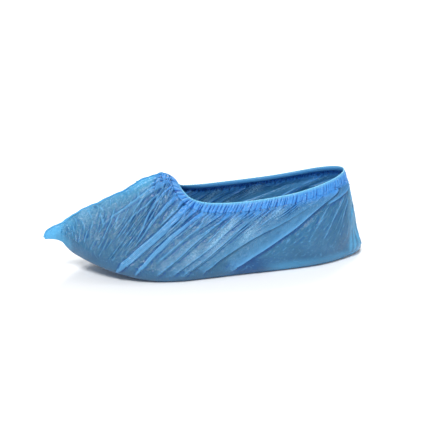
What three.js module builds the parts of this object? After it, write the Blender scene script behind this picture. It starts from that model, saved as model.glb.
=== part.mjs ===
// A disposable shoe cover in the form it has when worn: a thin film bag with a gathered elastic mouth, welded
// shut up the toe and the heel. Lengths are millimetres, +Z is up, the toe points along -X and the heel along +X.
// The origin is on the inner face of the sole, where the shoe stands.
import * as THREE from "three";

// Overall sizes of the worn cover, to its outer faces.
const COVER_LENGTH = 336.5; // tip of the toe corner to the heel corner
const TOE_REACH = 175; // tip of the toe corner to the origin
const SOLE_HALF_WIDTH = 56.5; // middle of the sole to its edge at the ball of the foot
const INSTEP_HEIGHT = 95; // film in front of the mouth, above the floor

// Film and welds. The real film is about 0.04 mm thick and is drawn thick enough to be a solid.
const FILM_WALL = 1.2;
const SOLE_ROUND = 9; // how far the sole's flat stops short of the widest line
const RIDGE_STEEPEN = 1.35; // inner wall's extra drop under a sharp ridge
const WELD_HEIGHT = 2; // weld's fin, standing off the film
const WELD_THICKNESS = 1.2;
const FIT_GAP = 0.4; // clear space between pieces that touch

// The hem and the elastic strand at its lip.
const HEM_WIDTH = 9.5; // lip to the film's top edge
const HEM_WALL = 1.2;
const HEM_RUFFLES = 54; // gathers round the mouth
const RUFFLE_DEPTH = 1.5; // a gather's height at the hem's lower edge
const LIP_RUFFLE_SHARE = 0.35; // of that height at the lip
const STRAND_DIAMETER = 2.2;
const PLEAT_HEIGHT = 3.4; // tallest fold in the side

// The sole, by station. at is a share of COVER_LENGTH from the toe corner; half_width is a share of
// SOLE_HALF_WIDTH; widest (height of the widest line) and floor (height of the middle line) of INSTEP_HEIGHT.
const SOLE_STATIONS = [
  { at: 0.0, half_width: 0.006, widest: 0.405, floor: 0.395 },
  { at: 0.009, half_width: 0.016, widest: 0.44, floor: 0.395 },
  { at: 0.03, half_width: 0.021, widest: 0.456, floor: 0.386 },
  { at: 0.05, half_width: 0.034, widest: 0.452, floor: 0.356 },
  { at: 0.062, half_width: 0.071, widest: 0.436, floor: 0.302 },
  { at: 0.074, half_width: 0.152, widest: 0.415, floor: 0.258 },
  { at: 0.089, half_width: 0.26, widest: 0.385, floor: 0.222 },
  { at: 0.11, half_width: 0.388, widest: 0.345, floor: 0.19 },
  { at: 0.14, half_width: 0.53, widest: 0.3, floor: 0.15 },
  { at: 0.178, half_width: 0.68, widest: 0.255, floor: 0.104 },
  { at: 0.223, half_width: 0.805, widest: 0.21, floor: 0.064 },
  { at: 0.267, half_width: 0.893, widest: 0.175, floor: 0.028 },
  { at: 0.327, half_width: 0.968, widest: 0.145, floor: 0.004 },
  { at: 0.386, half_width: 1.0, widest: 0.13, floor: 0.0 },
  { at: 0.475, half_width: 0.965, widest: 0.126, floor: 0.0 },
  { at: 0.565, half_width: 0.915, widest: 0.126, floor: 0.0 },
  { at: 0.654, half_width: 0.882, widest: 0.126, floor: 0.0 },
  { at: 0.728, half_width: 0.85, widest: 0.126, floor: 0.0 },
  { at: 0.802, half_width: 0.79, widest: 0.126, floor: 0.0 },
  { at: 0.862, half_width: 0.69, widest: 0.126, floor: 0.0 },
  { at: 0.906, half_width: 0.575, widest: 0.132, floor: 0.002 },
  { at: 0.942, half_width: 0.45, widest: 0.137, floor: 0.006 },
  { at: 0.966, half_width: 0.355, widest: 0.137, floor: 0.01 },
  { at: 0.984, half_width: 0.235, widest: 0.126, floor: 0.015 },
  { at: 0.996, half_width: 0.1, widest: 0.084, floor: 0.02 },
  { at: 1.0, half_width: 0.01, widest: 0.045, floor: 0.026 },
];

// The toe weld, from the toe corner up the instep to the hem. at and foot are shares of COVER_LENGTH and height
// is a share of INSTEP_HEIGHT. A fold that starts at at lands on the sole's edge at foot. full is the roundness
// of the film between them: 1 is straight and 2 is an ellipse.
const TOE_WELD = [
  { at: 0.0, height: 0.412, foot: 0.0, full: 1.0 },
  { at: 0.007, height: 0.475, foot: 0.0075, full: 1.0 },
  { at: 0.0267, height: 0.52, foot: 0.024, full: 1.05 },
  { at: 0.0565, height: 0.56, foot: 0.049, full: 1.15 },
  { at: 0.089, height: 0.638, foot: 0.068, full: 1.3 },
  { at: 0.134, height: 0.714, foot: 0.083, full: 1.42 },
  { at: 0.187, height: 0.785, foot: 0.101, full: 1.5 },
  { at: 0.247, height: 0.862, foot: 0.122, full: 1.55 },
  { at: 0.306, height: 0.957, foot: 0.143, full: 1.62 },
  { at: 0.35, height: 0.99, foot: 0.158, full: 1.68 },
];

// The mouth's lip, from its front to its back down one side. aside is a share of SOLE_HALF_WIDTH, and flare is
// the angle of the hem off its lip: 0 hangs straight down, 90 lies flat outwards, and more climbs.
const MOUTH = [
  { at: 0.402, aside: 0.0, height: 0.935, flare: 134, foot: 0.172, full: 1.7 },
  { at: 0.408, aside: 0.24, height: 0.882, flare: 104, foot: 0.186, full: 1.6 },
  { at: 0.428, aside: 0.44, height: 0.812, flare: 60, foot: 0.205, full: 1.45 },
  { at: 0.464, aside: 0.58, height: 0.778, flare: 34, foot: 0.238, full: 1.35 },
  { at: 0.52, aside: 0.65, height: 0.767, flare: 20, foot: 0.285, full: 1.3 },
  { at: 0.594, aside: 0.685, height: 0.774, flare: 15, foot: 0.335, full: 1.25 },
  { at: 0.669, aside: 0.675, height: 0.792, flare: 14, foot: 0.378, full: 1.25 },
  { at: 0.743, aside: 0.635, height: 0.82, flare: 14, foot: 0.415, full: 1.3 },
  { at: 0.811, aside: 0.56, height: 0.862, flare: 15, foot: 0.447, full: 1.35 },
  { at: 0.865, aside: 0.455, height: 0.904, flare: 16, foot: 0.478, full: 1.4 },
  { at: 0.902, aside: 0.32, height: 0.935, flare: 17, foot: 0.512, full: 1.45 },
  { at: 0.924, aside: 0.17, height: 0.954, flare: 18, foot: 0.64, full: 1.6 },
  { at: 0.932, aside: 0.0, height: 0.962, flare: 20, foot: 0.815, full: 1.8 },
];

// The heel weld, from the hem down the back to the heel corner, with the toe weld's columns.
const HEEL_WELD = [
  { at: 0.95, height: 0.755, foot: 0.888, full: 1.85 },
  { at: 0.963, height: 0.56, foot: 0.934, full: 1.75 },
  { at: 0.9745, height: 0.38, foot: 0.965, full: 1.6 },
  { at: 0.982, height: 0.21, foot: 0.985, full: 1.3 },
  { at: 1.0, height: 0.055, foot: 1.0, full: 1.0 },
];

// The main folds of each side, front to back. at is the fold's place along the lip and half its spread there,
// both as shares of the lip's rows; height is a share of PLEAT_HEIGHT; reach is how far down the side it runs.
const PLEATS = [
  { at: 0.045, spread: 0.016, height: 0.55, reach: 0.75 },
  { at: 0.115, spread: 0.018, height: 0.6, reach: 0.8 },
  { at: 0.2, spread: 0.024, height: 1.0, reach: 1.0 },
  { at: 0.28, spread: 0.02, height: 0.75, reach: 0.95 },
  { at: 0.355, spread: 0.02, height: 0.6, reach: 0.75 },
  { at: 0.43, spread: 0.022, height: 0.75, reach: 0.9 },
  { at: 0.51, spread: 0.022, height: 0.7, reach: 0.85 },
  { at: 0.6, spread: 0.024, height: 0.65, reach: 0.9 },
  { at: 0.705, spread: 0.024, height: 0.75, reach: 1.0 },
  { at: 0.81, spread: 0.026, height: 1.0, reach: 1.0 },
];

// How finely the shapes are cut into facets.
const SIDE_ROWS = 7; // weld or hem to the widest line
const EDGE_ROWS = 2; // widest line to the sole's flat
const FLAT_ROWS = 2; // sole's flat to the middle
const WELD_STEPS = 2; // columns to each row of a weld's table
const RUFFLE_STEPS = 4; // columns to each gather
const STRAND_STEPS = 72;
const STRAND_SIDES = 6;

const lastWeldRow = TOE_WELD.length;
const mouthRows = MOUTH.length - 1;

// Monotone cubic through a table's column, so that nothing overshoots between rows.
function through(rows, column, place = (row, index) => index) {
  const x = rows.map(place);
  const y = rows.map((row) => row[column]);
  const slope = y.slice(1).map((value, i) => (value - y[i]) / (x[i + 1] - x[i]));
  const tangent = y.map((_, i) => {
    if (i === 0) return slope[0];
    if (i === y.length - 1) return slope[i - 1];
    const product = slope[i - 1] * slope[i];
    return product <= 0 ? 0 : (2 * product) / (slope[i - 1] + slope[i]);
  });
  return (at) => {
    const found = x.findIndex((value) => value > at);
    const i = found < 0 ? x.length - 2 : Math.max(0, found - 1);
    const h = x[i + 1] - x[i];
    const t = THREE.MathUtils.clamp((at - x[i]) / h, 0, 1);
    const s = 1 - t;
    return (
      y[i] * (1 + 2 * t) * s * s +
      tangent[i] * h * t * s * s +
      y[i + 1] * t * t * (3 - 2 * t) -
      tangent[i + 1] * h * t * t * s
    );
  };
}

const station = (row) => row.at;
const soleWidth = through(SOLE_STATIONS, "half_width", station);
const soleWidest = through(SOLE_STATIONS, "widest", station);
const soleFloor = through(SOLE_STATIONS, "floor", station);
const mouthFlare = through(MOUTH, "flare");

const along = (share) => share * COVER_LENGTH - TOE_REACH;

// The lip as one closed loop. Its first half runs down the near side, where y is below 0.
const lipPoint = (row, side) =>
  new THREE.Vector3(along(row.at), side * row.aside * SOLE_HALF_WIDTH, row.height * INSTEP_HEIGHT);
const lip = new THREE.CatmullRomCurve3(
  [...MOUTH.map((row) => lipPoint(row, -1)), ...MOUTH.slice(1, -1).reverse().map((row) => lipPoint(row, 1))],
  true,
  "centripetal",
);

// The frame of the hem at a turn of the lip from 0 to 1: the lip's point, the way down the hem and the way out.
function hemFrame(turn) {
  const point = lip.getPoint(turn);
  const run = lip.getTangent(turn);
  const outward = new THREE.Vector3(run.y, -run.x, 0).normalize();
  const flare = THREE.MathUtils.degToRad(mouthFlare((turn <= 0.5 ? turn : 1 - turn) * 2 * mouthRows));
  const down = outward
    .clone()
    .multiplyScalar(Math.sin(flare))
    .add(new THREE.Vector3(0, 0, -Math.cos(flare)));
  const out = outward
    .clone()
    .multiplyScalar(Math.cos(flare))
    .add(new THREE.Vector3(0, 0, Math.sin(flare)));
  return { point, down, out };
}

// A point of the film's top edge, which starts a gap below the hem. row counts along the lip's table.
function filmEdge(row) {
  const { point, down } = hemFrame((row / mouthRows) * 0.5);
  const edge = point.addScaledVector(down, HEM_WIDTH + FIT_GAP);
  if (row <= 0 || row >= mouthRows) edge.y = 0;
  return edge;
}

// A weld's table, joined to the film's edge at the end that meets the hem.
const frontEdge = filmEdge(0);
const backEdge = filmEdge(mouthRows);
const asShares = (edge, row) => ({
  at: (edge.x + TOE_REACH) / COVER_LENGTH,
  height: edge.z / INSTEP_HEIGHT,
  foot: row.foot,
  full: row.full,
});
const toeRows = [...TOE_WELD, asShares(frontEdge, MOUTH[0])];
const heelRows = [asShares(backEdge, MOUTH[mouthRows]), ...HEEL_WELD];

function weldPoint(rows, row) {
  return new THREE.Vector3(along(through(rows, "at")(row)), 0, through(rows, "height")(row) * INSTEP_HEIGHT);
}

// Where a column of the side starts, where it lands and how round it is. place counts rows over the toe weld,
// then the mouth, then the heel weld.
function column(place) {
  if (place <= lastWeldRow) {
    return {
      start: weldPoint(toeRows, place),
      foot: through(toeRows, "foot")(place),
      full: through(toeRows, "full")(place),
    };
  }
  const row = place - lastWeldRow;
  if (row < mouthRows) {
    return { start: filmEdge(row), foot: through(MOUTH, "foot")(row), full: through(MOUTH, "full")(row) };
  }
  return {
    start: weldPoint(heelRows, row - mouthRows),
    foot: through(heelRows, "foot")(row - mouthRows),
    full: through(heelRows, "full")(row - mouthRows),
  };
}

// The places of the side's columns: even over the welds, and five to each fold over the mouth, with one between.
const sideColumns = [];
for (let i = 0; i < lastWeldRow * WELD_STEPS; i++) sideColumns.push(i / WELD_STEPS);
let lastPleatEnd = 0;
for (const pleat of PLEATS) {
  const begin = pleat.at - pleat.spread;
  if (lastPleatEnd > 0) sideColumns.push(lastWeldRow + ((lastPleatEnd + begin) / 2) * mouthRows);
  else sideColumns.push(lastWeldRow);
  for (const step of [0, 0.5, 1, 1.5, 2]) sideColumns.push(lastWeldRow + (begin + step * pleat.spread) * mouthRows);
  lastPleatEnd = pleat.at + pleat.spread;
}
const HEEL_FAN = 10; // columns behind the last fold
for (let i = 1; i <= HEEL_FAN; i++)
  sideColumns.push(lastWeldRow + (lastPleatEnd + ((1 - lastPleatEnd) * i) / HEEL_FAN) * mouthRows);
const lastPlace = lastWeldRow + mouthRows + HEEL_WELD.length;
for (let i = 1; i <= HEEL_WELD.length * WELD_STEPS; i++)
  sideColumns.push(lastWeldRow + mouthRows + i / WELD_STEPS);

// Height of the folds at a place of the top edge and a share of the way down the side.
function foldHeight(place, down) {
  const share = (place - lastWeldRow) / mouthRows;
  let height = 0;
  for (const pleat of PLEATS) {
    const off = Math.abs(share - pleat.at) / pleat.spread;
    if (off >= 1) continue;
    const fade = THREE.MathUtils.smoothstep(pleat.reach - down, 0, 0.35) * THREE.MathUtils.smoothstep(down, 0, 0.2);
    height = Math.max(height, pleat.height * fade * 0.5 * (1 + Math.cos(Math.PI * off)));
  }
  return height * PLEAT_HEIGHT;
}

// One column of the near side's outer face, from its start down to the middle of the sole, without folds.
function sideColumn(place) {
  const { start, foot, full } = column(place);
  const x = along(foot);
  const width = soleWidth(foot) * SOLE_HALF_WIDTH;
  const widest = soleWidest(foot) * INSTEP_HEIGHT;
  const floor = soleFloor(foot) * INSTEP_HEIGHT;
  const points = [];
  for (let i = 0; i <= SIDE_ROWS; i++) {
    const angle = ((i / SIDE_ROWS) * Math.PI) / 2;
    const spread = i === SIDE_ROWS ? 1 : Math.sin(angle) ** (2 / full);
    const rise = i === SIDE_ROWS ? 0 : Math.cos(angle) ** (2 / full);
    points.push(
      new THREE.Vector3(
        x + (start.x - x) * rise,
        start.y - (width + start.y) * spread,
        widest + (start.z - widest) * rise,
      ),
    );
  }
  const flat = width - Math.min(SOLE_ROUND, width / 2);
  for (let i = 1; i <= EDGE_ROWS; i++) {
    const angle = ((i / EDGE_ROWS) * Math.PI) / 2;
    points.push(
      new THREE.Vector3(x, -flat - (width - flat) * Math.cos(angle), floor + (widest - floor) * (1 - Math.sin(angle))),
    );
  }
  for (let i = 1; i <= FLAT_ROWS; i++) points.push(new THREE.Vector3(x, -flat * (1 - i / FLAT_ROWS), floor));
  return points;
}

// The outward normal of a grid of columns at one of its points.
function gridNormal(grid, i, j) {
  const across = grid[Math.min(i + 1, grid.length - 1)][j].clone().sub(grid[Math.max(i - 1, 0)][j]);
  const down = grid[i][Math.min(j + 1, grid[i].length - 1)].clone().sub(grid[i][Math.max(j - 1, 0)]);
  return down.cross(across).normalize();
}

// A closed geometry from triangles of points, with the faces turned outwards.
function closed(triangles) {
  let volume = 0;
  for (const [a, b, c] of triangles) volume += a.dot(b.clone().cross(c));
  const flat = triangles.flatMap(([a, b, c]) => (volume > 0 ? [a, b, c] : [a, c, b])).flatMap((p) => p.toArray());
  const geometry = new THREE.BufferGeometry();
  geometry.setAttribute("position", new THREE.Float32BufferAttribute(flat, 3));
  geometry.computeVertexNormals();
  return geometry;
}

function addQuad(triangles, a, b, c, d) {
  for (const corner of [
    [a, b, c],
    [a, c, d],
  ]) {
    const [p, q, r] = corner;
    if (p.distanceTo(q) > 1e-3 && q.distanceTo(r) > 1e-3 && r.distanceTo(p) > 1e-3) triangles.push(corner);
  }
}

const mirrored = (point) => new THREE.Vector3(point.x, point.y === 0 ? 0 : -point.y, point.z);

// Both sides of a grid of columns: the near one, and the far one as its mirror with its faces turned round.
function addPanels(triangles, grid, inward) {
  for (let i = 0; i + 1 < grid.length; i++) {
    for (let j = 0; j + 1 < grid[i].length; j++) {
      const quad = [grid[i][j], grid[i][j + 1], grid[i + 1][j + 1], grid[i + 1][j]];
      const near = inward ? [...quad].reverse() : quad;
      const far = (inward ? quad : [...quad].reverse()).map(mirrored);
      addQuad(triangles, ...near);
      addQuad(triangles, ...far);
    }
  }
}

// The film bag: both side panels and the sole as one shell, open at the mouth, with the flat toe corner.
function filmBag() {
  const plain = sideColumns.map(sideColumn);
  const rowCount = plain[0].length - 1;
  const inMouth = (place) => place > lastWeldRow && place < lastWeldRow + mouthRows;
  const outer = plain.map((points, i) =>
    points.map((point, j) => {
      const lift = j <= SIDE_ROWS ? foldHeight(sideColumns[i], j / SIDE_ROWS) : 0;
      return lift > 0 ? point.clone().addScaledVector(gridNormal(plain, i, j), lift) : point;
    }),
  );
  const wideEnough = (points) => Math.abs(points[SIDE_ROWS].y) > 4 * FILM_WALL;
  const first = outer.findIndex(wideEnough);
  const last = outer.length - 1 - [...outer].reverse().findIndex(wideEnough);
  const inner = [];
  for (let i = first; i <= last; i++) {
    inner.push(
      outer[i].map((point, j) => {
        const onMiddle = j === rowCount || (j === 0 && !inMouth(sideColumns[i]));
        const row = sideColumns[i] - lastWeldRow;
        const atHem = j === 0 && row >= 0 && row <= mouthRows;
        const normal = atHem ? hemFrame((row / mouthRows) * 0.5).out : gridNormal(outer, i, j);
        if (onMiddle) {
          normal.y = 0;
          normal.normalize();
        }
        const steep = j === 0 && onMiddle && !atHem ? RIDGE_STEEPEN : 1;
        const moved = point.clone().addScaledVector(normal, -FILM_WALL * steep);
        if (onMiddle) moved.y = 0;
        return moved;
      }),
    );
  }
  const closing = (points, way) =>
    points.map((point) => new THREE.Vector3(point.x + way * FILM_WALL, 0, point.z));
  inner.unshift(closing(inner[0], -1));
  inner.push(closing(inner[inner.length - 1], 1));

  const triangles = [];
  addPanels(triangles, outer, false);
  addPanels(triangles, inner, true);
  const tip = outer[0];
  const heel = outer[outer.length - 1];
  for (let j = 0; j < rowCount; j++) {
    addQuad(triangles, tip[j + 1], tip[j], mirrored(tip[j]), mirrored(tip[j + 1]));
    addQuad(triangles, heel[j], heel[j + 1], mirrored(heel[j + 1]), mirrored(heel[j]));
  }
  const innerOf = (i) => inner[i - first + 1][0];
  for (let i = 0; i + 1 < outer.length; i++) {
    const middle = (sideColumns[i] + sideColumns[i + 1]) / 2;
    if (!inMouth(middle)) continue;
    const strip = [outer[i][0], outer[i + 1][0], innerOf(i + 1), innerOf(i)];
    addQuad(triangles, ...strip);
    addQuad(triangles, ...strip.map(mirrored).reverse());
  }
  return closed(triangles);
}

// A solid swept through cross-sections, each a ring of the same number of points. A looped one joins its ends.
function swept(sections, looped) {
  const triangles = [];
  const count = sections[0].length;
  const steps = looped ? sections.length : sections.length - 1;
  for (let i = 0; i < steps; i++) {
    const here = sections[i];
    const next = sections[(i + 1) % sections.length];
    for (let j = 0; j < count; j++) addQuad(triangles, here[j], here[(j + 1) % count], next[(j + 1) % count], next[j]);
  }
  if (!looped) {
    for (const [section, turned] of [
      [sections[0], true],
      [sections[sections.length - 1], false],
    ]) {
      for (let j = 1; j + 1 < count; j++) {
        const fan = [section[0], section[j], section[j + 1]];
        triangles.push(turned ? fan.reverse() : fan);
      }
    }
  }
  return closed(triangles);
}

// The hem: a gathered band round the mouth, whose ruffles grow from the lip to its lower edge.
function gatheredHem() {
  const steps = HEM_RUFFLES * RUFFLE_STEPS;
  const sections = [];
  for (let i = 0; i < steps; i++) {
    const turn = i / steps;
    const { point, down, out } = hemFrame(turn);
    const wave = Math.cos(turn * HEM_RUFFLES * 2 * Math.PI);
    const at = (share, skin) => {
      const depth = RUFFLE_DEPTH * THREE.MathUtils.lerp(LIP_RUFFLE_SHARE, 1, share);
      const lift = (wave - 1) * 0.5 * depth + skin * HEM_WALL;
      return point
        .clone()
        .addScaledVector(down, share * HEM_WIDTH)
        .addScaledVector(out, lift);
    };
    sections.push([at(0, 0), at(1, 0), at(1, -1), at(0, -1)]);
  }
  return swept(sections, true);
}

// The elastic strand, a bead along the lip that sits on the hem's top edge.
function elasticStrand() {
  const radius = STRAND_DIAMETER / 2;
  const middleOut = -(RUFFLE_DEPTH * LIP_RUFFLE_SHARE + HEM_WALL) / 2;
  const sections = [];
  for (let i = 0; i < STRAND_STEPS; i++) {
    const { point, down, out } = hemFrame(i / STRAND_STEPS);
    const centre = point.clone().addScaledVector(down, -radius - FIT_GAP).addScaledVector(out, middleOut);
    const section = [];
    for (let j = 0; j < STRAND_SIDES; j++) {
      const angle = ((j + 0.5) / STRAND_SIDES) * 2 * Math.PI;
      section.push(
        centre
          .clone()
          .addScaledVector(down, radius * Math.cos(angle))
          .addScaledVector(out, radius * Math.sin(angle)),
      );
    }
    sections.push(section);
  }
  return swept(sections, true);
}

// A weld's fin along its table's line, standing a gap off the film in the middle plane.
function weldFin(rows) {
  const sections = [];
  const last = rows.length - 1;
  for (let i = 0; i <= last * WELD_STEPS; i++) {
    const row = i / WELD_STEPS;
    const point = weldPoint(rows, row);
    const ahead = weldPoint(rows, Math.min(last, row + 0.05));
    const behind = weldPoint(rows, Math.max(0, row - 0.05));
    const run = ahead.sub(behind).normalize();
    const off = new THREE.Vector3(-run.z, 0, run.x);
    const side = new THREE.Vector3(0, WELD_THICKNESS / 2, 0);
    const low = point.clone().addScaledVector(off, FIT_GAP);
    const high = point.clone().addScaledVector(off, FIT_GAP + WELD_HEIGHT);
    sections.push([low.clone().sub(side), high.clone().sub(side), high.clone().add(side), low.clone().add(side)]);
  }
  return swept(sections, false);
}

const film = new THREE.MeshStandardMaterial({ color: 0x4f97cf, roughness: 0.45, metalness: 0, side: THREE.DoubleSide });
const gathered = new THREE.MeshStandardMaterial({ color: 0x3f8ee6, roughness: 0.45, metalness: 0 });
const elastic = new THREE.MeshStandardMaterial({ color: 0x74c6f6, roughness: 0.6, metalness: 0 });
const weld = new THREE.MeshStandardMaterial({ color: 0x66b5ea, roughness: 0.4, metalness: 0 });

const cover = new THREE.Group();
cover.name = "shoe_cover";
cover.position.z = -FILM_WALL;
function addPiece(name, geometry, material) {
  const mesh = new THREE.Mesh(geometry, material);
  mesh.name = name;
  cover.add(mesh);
}
addPiece("film_bag", filmBag(), film);
addPiece("gathered_hem", gatheredHem(), gathered);
addPiece("elastic_strand", elasticStrand(), elastic);
addPiece("toe_weld", weldFin(toeRows), weld);
addPiece("heel_weld", weldFin(heelRows), weld);

export default cover;
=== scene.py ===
"""A disposable shoe cover of blue plastic film, dressed over its CAD frame, in the form it has when worn."""

import logging
import math
from dataclasses import dataclass
from enum import Enum

import bmesh
import bpy
import numpy as np
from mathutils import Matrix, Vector

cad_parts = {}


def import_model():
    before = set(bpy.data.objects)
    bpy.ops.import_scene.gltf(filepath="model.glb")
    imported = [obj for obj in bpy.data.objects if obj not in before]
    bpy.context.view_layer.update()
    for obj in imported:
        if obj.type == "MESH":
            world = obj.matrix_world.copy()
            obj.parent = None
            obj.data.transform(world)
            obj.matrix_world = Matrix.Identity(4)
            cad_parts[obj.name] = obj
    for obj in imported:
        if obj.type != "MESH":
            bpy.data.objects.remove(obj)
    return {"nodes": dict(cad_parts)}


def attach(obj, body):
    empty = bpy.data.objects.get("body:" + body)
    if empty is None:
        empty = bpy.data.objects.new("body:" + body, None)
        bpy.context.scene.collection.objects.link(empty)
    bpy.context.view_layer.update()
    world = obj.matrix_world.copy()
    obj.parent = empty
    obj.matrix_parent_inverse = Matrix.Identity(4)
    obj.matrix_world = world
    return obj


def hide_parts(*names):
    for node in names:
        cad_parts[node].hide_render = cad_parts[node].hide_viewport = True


Array = np.ndarray

LOG = logging.getLogger("shoe_cover")
MM = 0.001


def monotone(x: Array, y: Array, at: Array) -> Array:
    """Reads a monotone cubic through points, so nothing overshoots between them.

    Args:
        x: The points' places, rising.
        y: The points' values.
        at: Where to read.

    Returns:
        The values there.
    """
    slope = np.diff(y) / np.diff(x)
    tangent = np.empty(len(y))
    tangent[0], tangent[-1] = slope[0], slope[-1]
    product = slope[:-1] * slope[1:]
    total = slope[:-1] + slope[1:]
    safe = np.where(product > 0, total, 1.0)
    tangent[1:-1] = np.where(product > 0, 2 * product / safe, 0.0)
    i = np.clip(np.searchsorted(x, at, side="right") - 1, 0, len(x) - 2)
    h = x[i + 1] - x[i]
    t = np.clip((at - x[i]) / h, 0, 1)
    s = 1 - t
    return (
        y[i] * (1 + 2 * t) * s * s
        + tangent[i] * h * t * s * s
        + y[i + 1] * t * t * (3 - 2 * t)
        - tangent[i + 1] * h * t * t * s
    )


@dataclass(frozen=True)
class Table:
    """A short table with named columns, read as smooth curves along its rows."""

    columns: tuple[str, ...]
    rows: tuple[tuple[float, ...], ...]

    def column(self, name: str) -> Array:
        """One column as an array."""
        return np.array([row[self.columns.index(name)] for row in self.rows], float)

    def by_row(self, name: str, row: Array) -> Array:
        """A column read at fractional row numbers."""
        return monotone(np.arange(len(self.rows), dtype=float), self.column(name), row)

    def by(self, key: str, name: str, at: Array) -> Array:
        """A column read at values of another, rising column."""
        return monotone(self.column(key), self.column(name), at)


SOLE_STATIONS = Table(
    ("at", "half_width", "widest", "floor"),
    (
        (0.0, 0.006, 0.405, 0.395),
        (0.009, 0.016, 0.44, 0.395),
        (0.03, 0.021, 0.456, 0.386),
        (0.05, 0.034, 0.452, 0.356),
        (0.062, 0.071, 0.436, 0.302),
        (0.074, 0.152, 0.415, 0.258),
        (0.089, 0.26, 0.385, 0.222),
        (0.11, 0.388, 0.345, 0.19),
        (0.14, 0.53, 0.3, 0.15),
        (0.178, 0.68, 0.255, 0.104),
        (0.223, 0.805, 0.21, 0.064),
        (0.267, 0.893, 0.175, 0.028),
        (0.327, 0.968, 0.145, 0.004),
        (0.386, 1.0, 0.13, 0.0),
        (0.475, 0.965, 0.126, 0.0),
        (0.565, 0.915, 0.126, 0.0),
        (0.654, 0.882, 0.126, 0.0),
        (0.728, 0.85, 0.126, 0.0),
        (0.802, 0.79, 0.126, 0.0),
        (0.862, 0.69, 0.126, 0.0),
        (0.906, 0.575, 0.132, 0.002),
        (0.942, 0.45, 0.137, 0.006),
        (0.966, 0.355, 0.137, 0.01),
        (0.984, 0.235, 0.126, 0.015),
        (0.996, 0.1, 0.084, 0.02),
        (1.0, 0.01, 0.045, 0.026),
    ),
)
WELD_COLUMNS = ("at", "height", "foot", "full")
TOE_WELD = (
    (0.0, 0.412, 0.0, 1.0),
    (0.007, 0.475, 0.0075, 1.0),
    (0.0267, 0.52, 0.024, 1.05),
    (0.0565, 0.56, 0.049, 1.15),
    (0.089, 0.638, 0.068, 1.3),
    (0.134, 0.714, 0.083, 1.42),
    (0.187, 0.785, 0.101, 1.5),
    (0.247, 0.862, 0.122, 1.55),
    (0.306, 0.957, 0.143, 1.62),
    (0.35, 0.99, 0.158, 1.68),
)
HEEL_WELD = (
    (0.95, 0.755, 0.888, 1.85),
    (0.963, 0.56, 0.934, 1.75),
    (0.9745, 0.38, 0.965, 1.6),
    (0.982, 0.21, 0.985, 1.3),
    (1.0, 0.055, 1.0, 1.0),
)
MOUTH = Table(
    ("at", "aside", "height", "flare", "foot", "full"),
    (
        (0.402, 0.0, 0.935, 134, 0.172, 1.7),
        (0.408, 0.24, 0.882, 104, 0.186, 1.6),
        (0.428, 0.44, 0.812, 60, 0.205, 1.45),
        (0.464, 0.58, 0.778, 34, 0.238, 1.35),
        (0.52, 0.65, 0.767, 20, 0.285, 1.3),
        (0.594, 0.685, 0.774, 15, 0.335, 1.25),
        (0.669, 0.675, 0.792, 14, 0.378, 1.25),
        (0.743, 0.635, 0.82, 14, 0.415, 1.3),
        (0.811, 0.56, 0.862, 15, 0.447, 1.35),
        (0.865, 0.455, 0.904, 16, 0.478, 1.4),
        (0.902, 0.32, 0.935, 17, 0.512, 1.45),
        (0.924, 0.17, 0.954, 18, 0.64, 1.6),
        (0.932, 0.0, 0.962, 20, 0.815, 1.8),
    ),
)


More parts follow.
